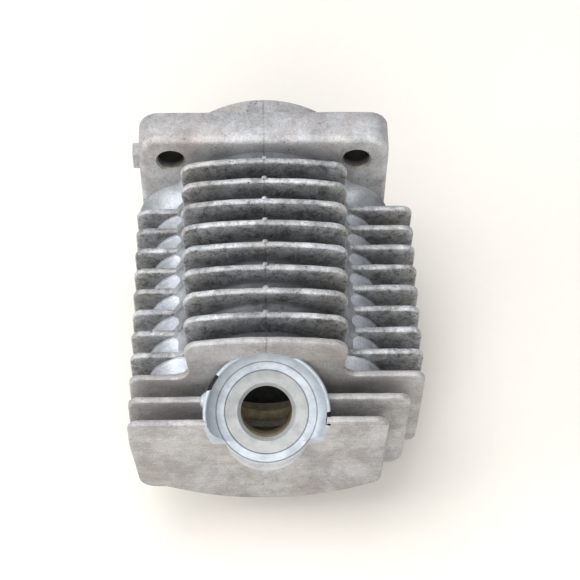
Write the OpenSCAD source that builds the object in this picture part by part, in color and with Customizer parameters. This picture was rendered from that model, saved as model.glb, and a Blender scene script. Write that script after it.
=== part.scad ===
// Air-cooled two-stroke cylinder with its head cast in one piece.
// Millimetres. Z is up, the bore runs along Y, the head end points to -Y
// and the crankcase face looks to +Y. The origin is on the bore axis, in
// the plane of the crankcase face.

/* [Bore and skirt] */
// Bore diameter
bore_d = 44; // [36:0.5:56]
// Wall of the bore lining inside the casting
lining_wall = 1.2; // [0.8:0.1:3]
// Wall of the cast barrel around the lining
barrel_wall = 1.1; // [0.8:0.1:4]
// Wall of the skirt that enters the crankcase
skirt_wall = 2.9; // [2:0.1:5]
// Length of the skirt past the crankcase face
skirt_len = 12; // [6:0.5:20]
// Chamfer on the skirt's end
skirt_chamfer = 1; // [0.3:0.1:1.5]

/* [Base flange] */
// Flange width, along X
flange_w = 66; // [56:0.5:84]
// Flange height, along Z
flange_h = 65; // [56:0.5:84]
// Flange thickness
flange_t = 10; // [6:0.5:14]
// Corner radius of the flange
flange_corner_r = 5.5; // [2:0.5:10]
// Distance between base bolt centres, both ways
bolt_pitch = 48.8; // [44:0.2:64]
// Base bolt hole diameter
bolt_hole_d = 7; // [5:0.1:9]
// Radius of the fillet between flange and barrel
root_fillet_r = 3.4; // [1.5:0.1:5]
// Radius of the fillet between flange and side lobes
lobe_fillet_r = 4.9; // [1.5:0.1:5]

/* [Fins] */
// Distance between fins
fin_pitch = 6.58; // [5.2:0.01:8]
// Fin thickness
fin_t = 2; // [1.4:0.1:3]
// Gap between the flange and the first fin
first_gap = 5; // [3:0.1:8]
// Height of the first fin's crest above the barrel
crest_rise = 7.45; // [4:0.05:14]
// How much the crest has fallen by the ninth fin
crest_drop = 4.4; // [0:0.1:8]
// How far the crest's end stands inside the barrel's side
crest_inset = 2.3; // [1:0.1:6]
// Radius of the crest's gentle crown
crown_r = 110; // [60:5:300]
// Reach of the left wings past the barrel
reach_left = 9.9; // [8:0.1:18]
// Reach of the right wings past the barrel
reach_right = 15.6; // [12:0.1:22]
// Height of the left wing's top edge above the side lobe
rise_left = 0.4; // [0:0.1:4]
// Height of the right wing's top edge above the side lobe
rise_right = 1.2; // [0:0.1:4]
// How far the wings' lower edge stops above the barrel's underside
wing_stop = 4.4; // [2:0.1:8]

/* [Plug seat] */
// Core diameter of the plug thread
plug_hole_d = 12.8; // [10:0.1:14]
// Diameter of the plug seat
seat_d = 20.8; // [17:0.1:26]
// Angle between the plug axis and the bore axis
plug_lean = 54; // [45:1:60]
// Radius of the milled bowl around the seat
bowl_r = 14.7; // [12:0.1:17]
// Radius of the boss around the plug hole
boss_r = 15.6; // [12:0.1:18]

/* [Ports] */
// Width of the exhaust port
exhaust_w = 24; // [16:0.5:28]
// Height of the exhaust port, along the bore
exhaust_h = 12; // [8:0.5:15]
// Distance between the exhaust stud centres
stud_pitch = 36; // [32:0.5:40]
// Core diameter of the exhaust stud threads
stud_hole_d = 5; // [4:0.1:7]

/* [Hidden] */
$fn = 72;
cut = 1;
half_space = 200;
fin_count = 11;
bore_r = bore_d / 2;
lining_r = bore_r + lining_wall;
barrel_r = lining_r + barrel_wall;
skirt_r = bore_r + skirt_wall;
collar_wall = 0.3;
collar_depth = 3;
collar_r = skirt_r + collar_wall;
fillet_trim = 0.2;

// Side lobes of the casting, which hold the transfer ducts.
lobe_inset = 3.5;
lobe_x = bore_r - lobe_inset;
lobe_r = 10.8;
duct_wall = 2;
duct_half_h = 6.5;

// Fin planes. Fin 0 is next to the flange, fin 10 is the end plate.
function rear(k) = -(flange_t + first_gap + k * fin_pitch);
function front(k) = rear(k) - fin_t;
last_crest = 8;
crest_taper = 0.2;
crest_lean = 1.5;
crest_corner_r = 4;
crest_root_r = 3.5;
root_hold = 0.5;
crown_steps = 3;
crown_parts = 5;
function crest(k) = barrel_r + crest_rise - crest_drop * pow(k / last_crest, 2);
function crest_w(k) = barrel_r - crest_inset - crest_taper * k;

// Wings. The last two step in on the right, round the plug seat.
wing_left = barrel_r + reach_left;
wing_right = barrel_r + reach_right;
wing_top_left = lobe_r + rise_left;
wing_top_right = lobe_r + rise_right;
wing_bottom = barrel_r - wing_stop;
wing_steps = [4.1, 9.9];
wing_corner_r = 3;
wing_low_r = 4.5;
wing_low_right_r = 2.5;
wing_knee_z = 2;
lean_left = 1.8;
lean_right = 0.5;
low_step_x = 12;

// Feet under the fins, and the end plate's curved lower edge.
foot_half_w = barrel_r - 4.3;
foot_flare = 1;
foot_r = 4;
foot_root_r = 1.2;
foot_step = 2.5;
sag_r = 54;
sag_depth = 6.5;
sag_half_w = 26;
sag_step = 4;
plate_rise = 2.1;

// Head: the deck is the flat ring above the piston, the dome is over it.
head_depth = 7.1;
head_inset = 2.3;
head_rim = 1;
head_slope = 1.5;
head_end = rear(last_crest);
deck_y = head_end + head_depth;
head_r = barrel_r - head_inset;
neck_r = 15.5;
neck_tip_r = 13;
squish_w = 7;
dome_base_r = bore_r - squish_w;
dome_rise = 10;
dome_r = (dome_base_r * dome_base_r + dome_rise * dome_rise) / (2 * dome_rise);
dome_y = deck_y - dome_rise + dome_r;

// Plug seat centre, and the sizes along the plug axis.
seat_to_plate = 7.1;
seat_y = front(fin_count - 1) + seat_to_plate * sin(plug_lean);
seat_z = 7.6;
seat_step = 0.3;
mouth_chamfer = 0.9;
bowl_floor = seat_d / 2;
bowl_blend = 0.1;
bowl_sink = 0.2;
bowl_corner = bowl_r - bowl_floor + bowl_blend;
bowl_depth = bowl_corner - bowl_sink;
bowl_out = 45;
boss_top = 6;
boss_bottom = 1;
sleeve_r = 9.5;
sleeve_depth = 16;
hole_past_sleeve = 4;
nose_r = 12.6;
nose_base_r = 16.2;
nose_len = 13;

// Exhaust block under the barrel. Its face is level with the flange.
floor_z = -flange_h / 2;
exhaust_y = -32;
exhaust_block_w = 44;
exhaust_block_l = 24;
exhaust_top_z = -12;
exhaust_corner_r = 3;
stud_depth = 10;

// Transfer windows in the bore, left and right.
window_top = 36;
window_bottom = 26;

// Cast pad on the flange's left edge.
pad_out = 1.8;
pad_len = 4;
pad_z = 17.8;
pad_h = 6;
pad_y = -3;

alu = [0.72, 0.73, 0.74];
worn = [0.80, 0.80, 0.80];
milled = [0.86, 0.87, 0.88];
steel = [0.55, 0.56, 0.58];

// ---- outline helpers -------------------------------------------------
function unit(v) = v / norm(v);

// Points of the arc that rounds corner b, between neighbours a and c.
function corner_arc(a, b, c, r, n) =
  let (u = unit(a - b), w = unit(c - b), half = acos(u * w) / 2,
       mid = b + unit(u + w) * r / sin(half),
       s = b + u * r / tan(half) - mid,
       e = b + w * r / tan(half) - mid,
       sweep = 180 - 2 * half)
  [for (i = [0:n]) mid + (s * sin(sweep * (n - i) / n) + e * sin(sweep * i / n)) / sin(sweep)];

// Outline from corners [x, z, radius]; radius 0 keeps the corner sharp.
function rounded(p, n = 6) =
  let (m = len(p))
  [for (i = [0:m - 1])
    let (b = [p[i][0], p[i][1]],
         a = [p[(i + m - 1) % m][0], p[(i + m - 1) % m][1]],
         c = [p[(i + 1) % m][0], p[(i + 1) % m][1]])
    each (p[i][2] > 0 ? corner_arc(a, b, c, p[i][2], n) : [b])];

function box_outline(w, h, r) =
  [[w / 2, h / 2, r], [-w / 2, h / 2, r], [-w / 2, -h / 2, r], [w / 2, -h / 2, r]];

// Extrudes a drawing in X and Z from y toward the head, for a length.
module slab(y, length) {
  translate([0, y, 0])
    rotate([90, 0, 0])
      linear_extrude(length)
        children();
}

// Turns a drawing of radius and y round the bore axis.
module lathe() {
  rotate([-90, 0, 0])
    rotate_extrude()
      children();
}

// Places children with +Z along the plug axis and the origin on the seat.
module on_plug_axis() {
  translate([0, seat_y, seat_z])
    rotate([90 - plug_lean, 0, 0])
      children();
}

// ---- shared shapes ---------------------------------------------------
module core_drawing() {
  circle(barrel_r);
  for (side = [-1, 1])
    translate([side * lobe_x, 0])
      circle(lobe_r);
}

module duct_drawing(side) {
  difference() {
    intersection() {
      translate([side * lobe_x, 0])
        circle(lobe_r - duct_wall);
      translate([side * 2 * lobe_x, 0])
        square([2 * lobe_x, 2 * duct_half_h], center = true);
    }
    circle(barrel_r);
  }
}

module windows() {
  window_l = window_top - window_bottom;
  translate([0, -(window_top + window_bottom) / 2, 0])
    cube([2 * (barrel_r + cut), window_l, 2 * duct_half_h], center = true);
}

module exhaust_bore() {
  translate([0, exhaust_y, floor_z - cut])
    linear_extrude(-floor_z)
      polygon(rounded(box_outline(exhaust_w, exhaust_h, exhaust_corner_r)));
}

module exhaust_space() {
  translate([-exhaust_block_w / 2, exhaust_y - exhaust_block_l / 2, floor_z])
    cube([exhaust_block_w, exhaust_block_l, exhaust_top_z - floor_z]);
}

// The milling cutter that clears the plug seat.
module bowl_cutter() {
  on_plug_axis()
    rotate_extrude() {
      square([bowl_floor, bowl_out]);
      translate([0, bowl_depth])
        square([bowl_r, bowl_out - bowl_depth]);
      intersection() {
        translate([bowl_floor, bowl_depth])
          circle(bowl_corner);
        translate([bowl_floor - cut, 0])
          square([bowl_r - bowl_floor + cut, bowl_depth + cut]);
      }
    }
}

module boss_stock() {
  on_plug_axis() {
    translate([0, 0, -boss_bottom])
      cylinder(h = boss_bottom + boss_top, r = boss_r);
    translate([0, 0, -sleeve_depth])
      cylinder(h = sleeve_depth, r = sleeve_r);
  }
}

// The boss: full size behind the end plate's face, a cone in front of it.
module boss_form() {
  plate_y = front(fin_count - 1);
  difference() {
    boss_stock();
    translate([-half_space / 2, plate_y - half_space, -half_space / 2])
      cube(half_space);
  }
  intersection() {
    on_plug_axis()
      translate([0, 0, -nose_len])
        cylinder(h = nose_len, r1 = nose_base_r, r2 = nose_r);
    translate([-half_space / 2, plate_y - half_space, -half_space / 2])
      cube(half_space);
  }
}

module plug_hole() {
  on_plug_axis() {
    translate([0, 0, -sleeve_depth - hole_past_sleeve])
      cylinder(h = sleeve_depth + hole_past_sleeve + cut, d = plug_hole_d);
    translate([0, 0, -seat_step])
      cylinder(h = seat_step + cut, d = seat_d);
    translate([0, 0, -seat_step - mouth_chamfer])
      cylinder(h = mouth_chamfer, r1 = plug_hole_d / 2, r2 = plug_hole_d / 2 + mouth_chamfer);
  }
}

module dome_space() {
  translate([0, dome_y, 0])
    sphere(dome_r);
}

module head_form() {
  lathe()
    polygon([[0, deck_y], [barrel_r, deck_y], [barrel_r, deck_y - head_rim],
             [head_r, deck_y - head_rim - head_slope], [head_r, head_end], [neck_r, head_end],
             [neck_tip_r, rear(fin_count - 1)], [0, rear(fin_count - 1)]]);
}

// ---- fins ------------------------------------------------------------
// Reach of fin k to the right.
function wing_r(k) = wing_right - (k > last_crest ? wing_steps[k - last_crest - 1] : 0);

// Half width of the crest's root where it meets a wing's top edge. Along the
// barrel, the root fillet stays outside it, so crest and wings are one solid.
function root_w(k, wing_top) =
  let (leaning = crest_w(k) - crest_lean,
       bulge = crest_root_r * (1 - sqrt(0.5)),
       reach = barrel_r + root_hold,
       rise = wing_top + bulge)
  k < last_crest ? max(leaning, sqrt(reach * reach - rise * rise) - bulge) : leaning;

// Crest of fin k as corner points, from right to left.
function crown(k, x) = crest(k) - crown_r + sqrt(crown_r * crown_r - x * x);
function crest_points(k) =
  let (w = crest_w(k))
  concat([[root_w(k, wing_top_right), wing_top_right, crest_root_r],
          [w, crown(k, w), crest_corner_r]],
         [for (i = [crown_steps:-1:-crown_steps])
           let (x = i * w / crown_parts)
           [x, crown(k, x), 0]],
         [[-w, crown(k, w), crest_corner_r],
          [-root_w(k, wing_top_left), wing_top_left, crest_root_r]]);

// Left wing, from its top corner down to the lower edge.
left_points = [[-wing_left, wing_top_left, wing_corner_r], [-wing_left, wing_knee_z, 0],
               [-wing_left + lean_left, -wing_bottom, wing_low_r]];

// Block under fin k, from left to right.
function foot_z(k) = floor_z + foot_step * max(0, k - last_crest + 1);
function foot_points(k) =
  [[-foot_half_w - foot_flare, -wing_bottom, foot_root_r], [-foot_half_w, foot_z(k), foot_r],
   [foot_half_w, foot_z(k), foot_r], [foot_half_w + foot_flare, -wing_bottom, foot_root_r]];

function right_points(k) =
  [[wing_r(k) - lean_right, -wing_bottom, k > last_crest ? foot_r : wing_low_right_r],
   [wing_r(k), wing_top_right, wing_corner_r]];

module fin_drawing(k) {
  polygon(rounded(concat(crest_points(k), left_points, foot_points(k), right_points(k))));
}

// The last two fins have no crest.
module low_fin_drawing(k) {
  polygon(rounded(concat([[0, wing_top_right, 0], [-low_step_x, wing_top_left, 0]],
                         left_points, foot_points(k), right_points(k))));
}

// The end plate's lower edge is one shallow arc.
module plate_drawing() {
  k = fin_count - 1;
  sag_z = sag_r - wing_bottom - sag_depth;
  arc = [for (x = [-sag_half_w:sag_step:sag_half_w]) [x, sag_z - sqrt(sag_r * sag_r - x * x), 0]];
  polygon(rounded(concat([[0, wing_top_right, 0], [-low_step_x, wing_top_left, 0]],
                         left_points, arc,
                         [[wing_r(k) - lean_right, -wing_bottom + plate_rise, wing_corner_r],
                          [wing_r(k), wing_top_right, wing_corner_r]])));
}

module fin(k) {
  difference() {
    slab(rear(k), fin_t)
      if (k == fin_count - 1) plate_drawing();
      else if (k > last_crest) low_fin_drawing(k);
      else fin_drawing(k);
    if (k < last_crest) {
      slab(rear(k) + cut, fin_t + 2 * cut)
        core_drawing();
      exhaust_space();
    } else {
      head_form();
      boss_form();
      bowl_cutter();
    }
  }
}

// ---- pieces ----------------------------------------------------------
module base_flange() {
  color(alu)
    difference() {
      union() {
        slab(0, flange_t)
          flange_drawing();
        intersection() {
          slab(-flange_t + cut, first_gap + cut)
            flange_drawing();
          union() {
            root_fillet(0, barrel_r, root_fillet_r);
            root_fillet(-lobe_x, lobe_r, lobe_fillet_r);
            root_fillet(lobe_x, lobe_r, lobe_fillet_r);
          }
        }
        translate([-flange_w / 2 - pad_out, pad_y - pad_len, pad_z])
          cube([pad_out + cut, pad_len, pad_h]);
      }
      slab(cut, flange_t + 2 * cut)
        circle(lining_r);
      slab(cut, collar_depth + cut)
        circle(collar_r);
      slab(-flange_t, first_gap + cut)
        core_drawing();
      for (x = [-1, 1], z = [-1, 1])
        translate([x * bolt_pitch / 2, cut, z * bolt_pitch / 2])
          rotate([90, 0, 0])
            cylinder(h = flange_t + 2 * cut, d = bolt_hole_d);
      for (side = [-1, 1])
        slab(cut, flange_t + 2 * cut)
          duct_drawing(side);
    }
}

module flange_drawing() {
  polygon(rounded(box_outline(flange_w, flange_h, flange_corner_r)));
}

// Ring that fills the corner between the flange and a round body.
module root_fillet(x, r, fillet_r) {
  size = fillet_r - fillet_trim;
  translate([x, 0, 0])
    lathe()
      difference() {
        translate([r - cut, -flange_t - size])
          square([size + cut, size + cut]);
        translate([r + size, -flange_t - size])
          circle(fillet_r);
      }
}

module bore_lining() {
  color(steel)
    difference() {
      lathe()
        polygon([[bore_r, deck_y], [lining_r, deck_y], [lining_r, -collar_depth],
                 [collar_r, -collar_depth], [collar_r, 0], [skirt_r, 0],
                 [skirt_r, skirt_len - skirt_chamfer],
                 [skirt_r - skirt_chamfer, skirt_len], [bore_r, skirt_len]]);
      windows();
      exhaust_bore();
    }
}

module barrel() {
  color(alu)
    difference() {
      lathe()
        polygon([[lining_r, -flange_t], [barrel_r, -flange_t], [barrel_r, deck_y],
                 [lining_r, deck_y]]);
      windows();
      exhaust_bore();
    }
}

module transfer_duct(side) {
  color(alu)
    difference() {
      slab(-flange_t, -flange_t - head_end)
        difference() {
          translate([side * lobe_x, 0])
            circle(lobe_r);
          circle(barrel_r);
          translate([-side * half_space / 2, 0])
            square(half_space, center = true);
        }
      slab(-flange_t + cut, window_top - flange_t + cut)
        duct_drawing(side);
    }
}

module transfer_duct_left() {
  transfer_duct(-1);
}

module transfer_duct_right() {
  transfer_duct(1);
}

module cylinder_head() {
  color(alu)
    difference() {
      head_form();
      dome_space();
      boss_form();
      bowl_cutter();
    }
}

module plug_boss() {
  color(milled)
    difference() {
      boss_form();
      bowl_cutter();
      plug_hole();
      dome_space();
    }
}

module exhaust_port() {
  color(alu)
    difference() {
      exhaust_space();
      slab(-flange_t, -deck_y)
        core_drawing();
      exhaust_bore();
      for (side = [-1, 1])
        translate([side * stud_pitch / 2, exhaust_y, floor_z - cut])
          cylinder(h = stud_depth + cut, d = stud_hole_d);
    }
}

module fin_01() { color(worn) fin(0); }
module fin_02() { color(worn) fin(1); }
module fin_03() { color(worn) fin(2); }
module fin_04() { color(worn) fin(3); }
module fin_05() { color(worn) fin(4); }
module fin_06() { color(worn) fin(5); }
module fin_07() { color(worn) fin(6); }
module fin_08() { color(worn) fin(7); }
module fin_09() { color(worn) fin(8); }
module fin_10() { color(worn) fin(9); }
module fin_11() { color(worn) fin(10); }

base_flange();
bore_lining();
barrel();
transfer_duct_left();
transfer_duct_right();
cylinder_head();
plug_boss();
exhaust_port();
fin_01();
fin_02();
fin_03();
fin_04();
fin_05();
fin_06();
fin_07();
fin_08();
fin_09();
fin_10();
fin_11();
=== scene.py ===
# %% [markdown]
# # An air-cooled two-stroke cylinder
# The real object is one die casting of aluminium: a barrel with cooling fins, a
# square flange that bolts to the crankcase, a head closed by a dome, and a
# milled seat for the spark plug. It is built here piece by piece, in metres,
# around the CAD model, which gives every place and size.

# %% The frame
import bmesh
import bpy
import math
from mathutils import Matrix, Quaternion, Vector


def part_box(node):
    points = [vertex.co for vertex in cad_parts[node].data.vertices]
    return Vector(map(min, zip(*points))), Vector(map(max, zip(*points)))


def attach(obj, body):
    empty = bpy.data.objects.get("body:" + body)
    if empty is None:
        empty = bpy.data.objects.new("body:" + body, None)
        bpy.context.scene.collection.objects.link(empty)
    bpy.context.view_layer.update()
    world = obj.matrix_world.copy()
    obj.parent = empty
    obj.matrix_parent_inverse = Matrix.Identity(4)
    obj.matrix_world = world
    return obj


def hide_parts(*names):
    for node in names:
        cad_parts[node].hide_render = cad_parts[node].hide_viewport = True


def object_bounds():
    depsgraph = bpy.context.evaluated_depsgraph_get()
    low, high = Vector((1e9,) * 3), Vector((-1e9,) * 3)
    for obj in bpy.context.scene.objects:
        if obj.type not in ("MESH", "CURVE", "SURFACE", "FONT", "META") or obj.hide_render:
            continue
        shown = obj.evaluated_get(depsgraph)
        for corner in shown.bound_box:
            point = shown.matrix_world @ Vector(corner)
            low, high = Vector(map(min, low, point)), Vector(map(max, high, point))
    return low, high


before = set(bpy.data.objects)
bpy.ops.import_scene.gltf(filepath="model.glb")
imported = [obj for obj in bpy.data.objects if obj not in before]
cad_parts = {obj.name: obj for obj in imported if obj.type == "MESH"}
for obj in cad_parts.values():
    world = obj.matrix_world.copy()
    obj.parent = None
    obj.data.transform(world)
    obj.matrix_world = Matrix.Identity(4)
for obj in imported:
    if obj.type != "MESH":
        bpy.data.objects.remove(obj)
cad_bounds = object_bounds()
scene = bpy.context.scene
MM = 0.001  # sizes are written in millimetres, and Blender works in metres
TO_MM = (1000, 1000, 1000)  # turns Object coordinates into millimetres
print("CAD nodes:", len(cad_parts))

# %% [markdown]
# ## Camera, floor and light
# The part lies on its exhaust side on a white table, and is seen from above the
# head end with a long lens, so that its edges stay nearly parallel. A direction
# and a small roll say the same as three angles, and are easier to read.

# %% The camera
camera = bpy.data.objects.new("camera", bpy.data.cameras.new("camera"))
scene.collection.objects.link(camera)
camera.data.lens = 97.15
camera.data.sensor_width = 36
camera.data.clip_end = 20
view_direction = Vector((0.02226, 0.58736, -0.80902))
roll = math.radians(1.27)
turn = view_direction.to_track_quat("-Z", "Y") @ Quaternion((0, 0, 1), roll)
camera.rotation_euler = turn.to_euler()
camera.location = Vector((-2.56, -279.5, 337.5)) * MM
scene.camera = camera
scene.view_settings.view_transform = "Standard"
print("camera right:", (turn @ Vector((1, 0, 0)))[:], "up:", (turn @ Vector((0, 1, 0)))[:])


# %% [markdown]
# ## Colours and nodes
# Colours are easiest to choose as hex values, but Blender mixes light in linear
# numbers, so one function turns one into the other. Materials could be wired by
# hand in the Shader Editor. A single small function that adds any node, sets it
# and links it does the same in a few lines for each finish.

# %% Colours and nodes
def srgb(text):
    """A hex colour as the linear red, green, blue and alpha that Blender works with."""
    parts = [int(text[i:i + 2], 16) / 255 for i in (1, 3, 5)]
    return tuple(c / 12.92 if c <= 0.04045 else ((c + 0.055) / 1.055) ** 2.4 for c in parts) + (1,)


def add(tree, kind, inputs, **settings):
    """Adds a node, gives it its settings, then a value or a link for each input."""
    node = tree.nodes.new("ShaderNode" + kind)
    for name, value in settings.items():
        setattr(node, name, value)
    for key, value in inputs.items():
        if isinstance(value, bpy.types.NodeSocket):
            tree.links.new(value, node.inputs[key])
        else:
            node.inputs[key].default_value = value
    return node


def new_material(name):
    """A new material with an empty node tree, and that tree."""
    material = bpy.data.materials.new(name)
    material.use_nodes = True
    material.node_tree.nodes.clear()
    return material, material.node_tree


# %% [markdown]
# The table is one large sheet of card. A plain pale colour with a trace of
# fibre keeps the eye on the part, and bounces soft light up between the fins.

# %% The table
def table_paper():
    """Pale card: dull, with faint fibres a few millimetres long."""
    material, tree = new_material("pale_card")
    place = add(tree, "TexCoord", {})
    fibre = add(tree, "TexNoise", {"Vector": place.outputs["Object"], "Scale": 300.0, "Detail": 3.0})
    tone = add(tree, "Mix", {0: fibre.outputs[0], 6: srgb("#E3DFD9"), 7: srgb("#DFDBD5")},
               data_type="RGBA")
    card = add(tree, "BsdfPrincipled", {"Base Color": tone.outputs[2], "Roughness": 0.9,
                                        "Specular IOR Level": 0.2})
    add(tree, "OutputMaterial", {"Surface": card.outputs[0]})
    return material


bpy.ops.object.select_all(action="DESELECT")
floor_z = cad_bounds[0][2]
bpy.ops.mesh.primitive_grid_add(x_subdivisions=8, y_subdivisions=8, size=6, location=(0, 0, floor_z))
floor = bpy.context.object
floor.name = "table"
floor.data.materials.append(table_paper())
print("table at z:", round(floor_z / MM, 2), "mm")


# %% [markdown]
# Small lamps would leave hard shadows and burnt highlights on bare metal. Three
# large soft boxes, above, left and in front, wrap light round the fins, and a
# pale grey world fills the gaps between them.

# %% The lamps
def lamp(name, place, aim, size, power, colour="#FFFFFF"):
    """A square soft box at a place, aimed at a point."""
    light = bpy.data.lights.new(name, "AREA")
    light.energy = power
    light.size = size
    light.color = srgb(colour)[:3]
    holder = bpy.data.objects.new(name, light)
    holder.location = place
    holder.rotation_euler = (Vector(aim) - Vector(place)).to_track_quat("-Z", "Y").to_euler()
    scene.collection.objects.link(holder)


middle = (0, -0.035, 0)
lamp("top_box", (-0.25, 0.12, 0.9), middle, 0.8, 7.5)
lamp("left_box", (-0.9, -0.2, 0.45), middle, 0.5, 3.5)
lamp("front_box", (-0.1, -1.0, 0.55), middle, 0.9, 11.0, "#FFFBF5")
sky = bpy.data.worlds.new("studio")
sky.use_nodes = True
sky.node_tree.nodes["Background"].inputs["Color"].default_value = srgb("#F4F5F7")
sky.node_tree.nodes["Background"].inputs["Strength"].default_value = 0.5
scene.world = sky


# %% [markdown]
# ## Die-cast aluminium
# Molten aluminium shot into a steel die comes out with a dull grey skin. The eye
# reads it by its unevenness: cloudy tones, warm stains, small pits in clusters,
# burnt dirt and painted shade between the fins, and edges rubbed bright with a
# painted highlight. A painted image could hold all that, but it would need
# unwrapping. Noise on Object coordinates needs none, and its scale is set in real millimetres.

# %% Marks on a casting
barrel_r = 24.3  # the outer radius of the barrel
lobe_x = 18.5  # how far out the axis of a side lobe is
lobe_r = 10.8  # the outer radius of a side lobe


def bore_distance(tree):
    """How far a point is outside the barrel and its side lobes, in millimetres."""
    place = add(tree, "TexCoord", {})
    split = add(tree, "SeparateXYZ", {0: place.outputs["Object"]})
    flat = add(tree, "CombineXYZ", {0: split.outputs[0], 2: split.outputs[2]})
    radius = add(tree, "VectorMath", {0: flat.outputs[0]}, operation="LENGTH")
    side = add(tree, "Math", {0: split.outputs[0]}, operation="ABSOLUTE")
    offset = add(tree, "Math", {0: side.outputs[0], 1: lobe_x * MM}, operation="SUBTRACT")
    lobe_flat = add(tree, "CombineXYZ", {0: offset.outputs[0], 2: split.outputs[2]})
    lobe_radius = add(tree, "VectorMath", {0: lobe_flat.outputs[0]}, operation="LENGTH")
    barrel_out = add(tree, "Math", {0: radius.outputs["Value"], 1: barrel_r * MM}, operation="SUBTRACT")
    lobe_out = add(tree, "Math", {0: lobe_radius.outputs["Value"], 1: lobe_r * MM}, operation="SUBTRACT")
    least = add(tree, "Math", {0: barrel_out.outputs[0], 1: lobe_out.outputs[0]}, operation="MINIMUM")
    return add(tree, "Math", {0: least.outputs[0], 1: TO_MM[0]}, operation="MULTIPLY").outputs[0]


def pitting(tree, mm, bent, crowd, amount):
    """Pits: one in a few cells of about a millimetre, ragged, and thicker in some places."""
    ragged = add(tree, "VectorMath", {0: bent.outputs["Color"], 1: (0.9, 0.9, 0.9), 2: mm},
                 operation="MULTIPLY_ADD")
    cells = add(tree, "TexVoronoi", {"Vector": ragged.outputs[0], "Scale": 0.85})
    core = add(tree, "MapRange", {"Value": cells.outputs["Distance"], 1: 0.34, 2: 0.1})
    lot = add(tree, "SeparateXYZ", {0: cells.outputs["Color"]})
    odds = add(tree, "Math", {0: crowd.outputs[0], 1: 3.0, 2: lot.outputs[0]},
               operation="MULTIPLY_ADD")
    chosen = add(tree, "MapRange", {"Value": odds.outputs[0], 1: 2.3, 2: 2.6, 4: amount})
    return add(tree, "Math", {0: core.outputs[0], 1: chosen.outputs[0]}, operation="MULTIPLY").outputs[0]


def burnt_patches(tree, mm, value, amount):
    """Oil and dirt burnt on in ragged patches of 1 to 3 mm."""
    dirt = add(tree, "TexNoise", {"Vector": mm, "Scale": 0.42, "Detail": 8.0, "Roughness": 0.82,
                                  "Distortion": 0.6})
    patch = add(tree, "MapRange", {"Value": dirt.outputs[0], 1: 0.47, 2: 0.6, 3: 1.0, 4: 1.0 - amount})
    return add(tree, "Math", {0: value, 1: patch.outputs[0]}, operation="MULTIPLY").outputs[0]


def scratches(tree, mm, value, amount):
    """Fine marks drawn out across the part, at a small slant."""
    drawn = add(tree, "Mapping", {"Vector": mm, "Rotation": (0, math.radians(8), 0),
                                  "Scale": (0.12, 1.0, 2.6)})
    lines = add(tree, "TexNoise", {"Vector": drawn.outputs[0], "Scale": 1.0, "Detail": 5.0,
                                   "Roughness": 0.7})
    marks = add(tree, "MapRange", {"Value": lines.outputs[0], 1: 0.3, 2: 0.7,
                                   3: 1 - amount, 4: 1 + amount})
    return add(tree, "Math", {0: value, 1: marks.outputs[0]}, operation="MULTIPLY").outputs[0]


def soot_and_shade_inside(tree, x, grain, value, amount):
    """Soot and painted shade: darker toward the barrel, down in the gaps between the fins, most of all in
    the middle of the part, where less light comes in from the sides.
    """
    wavy = add(tree, "Math", {0: grain.outputs[0], 1: 6.0, 2: -3.0}, operation="MULTIPLY_ADD")
    deep = add(tree, "Math", {0: bore_distance(tree), 1: wavy.outputs[0]}, operation="ADD")
    dark = add(tree, "MapRange", {"Value": deep.outputs[0], 1: 0.5, 2: 8.0, 3: amount, 4: 0.0})
    side = add(tree, "Math", {0: x, 1: 4.0}, operation="SUBTRACT")
    side = add(tree, "Math", {0: side.outputs[0]}, operation="ABSOLUTE")
    share = add(tree, "MapRange", {"Value": side.outputs[0], 1: 9.0, 2: 24.0, 3: 1.0, 4: 0.55})
    dark = add(tree, "Math", {0: dark.outputs[0], 1: share.outputs[0]}, operation="MULTIPLY")
    left = add(tree, "Math", {0: 1.0, 1: dark.outputs[0]}, operation="SUBTRACT")
    return add(tree, "Math", {0: value, 1: left.outputs[0]}, operation="MULTIPLY").outputs[0]


def rubbed_and_highlit_rim(tree, normal, shade, value, amount):
    """Edges rubbed bright, with a painted highlight, where the surface turns away from a fin's flat face.
    """
    surface = add(tree, "SeparateXYZ", {0: normal})
    facing = add(tree, "Math", {0: surface.outputs[1]}, operation="ABSOLUTE")
    edge = add(tree, "MapRange", {"Value": facing.outputs[0], 1: 0.93, 2: 0.4, 3: 0.0, 4: amount})
    worn = add(tree, "Math", {0: edge.outputs[0], 1: shade.outputs[0]}, operation="MULTIPLY")
    return add(tree, "Math", {0: value, 1: worn.outputs[0]}, operation="ADD").outputs[0]


def parting_line(tree, x, z, bent, crowd, value):
    """The line along the middle where the two halves of the die met, faint in places."""
    near = add(tree, "Math", {0: bent.outputs[0], 1: 0.5, 2: x}, operation="MULTIPLY_ADD")
    near = add(tree, "Math", {0: near.outputs[0], 1: 0.25}, operation="SUBTRACT")
    near = add(tree, "Math", {0: near.outputs[0]}, operation="ABSOLUTE")
    faint = add(tree, "MapRange", {"Value": crowd.outputs[0], 1: 0.4, 2: 0.6, 3: 0.94, 4: 0.62})
    joint = add(tree, "MapRange", {"Value": near.outputs[0], 1: 0.12, 2: 0.34,
                                   3: faint.outputs[0], 4: 1.0})
    above = add(tree, "MapRange", {"Value": z, 1: 12.0, 2: 13.0})
    seam = add(tree, "Mix", {0: above.outputs[0], 2: 1.0, 3: joint.outputs[0]}, data_type="FLOAT")
    return add(tree, "Math", {0: value, 1: seam.outputs[0]}, operation="MULTIPLY").outputs[0]


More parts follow.
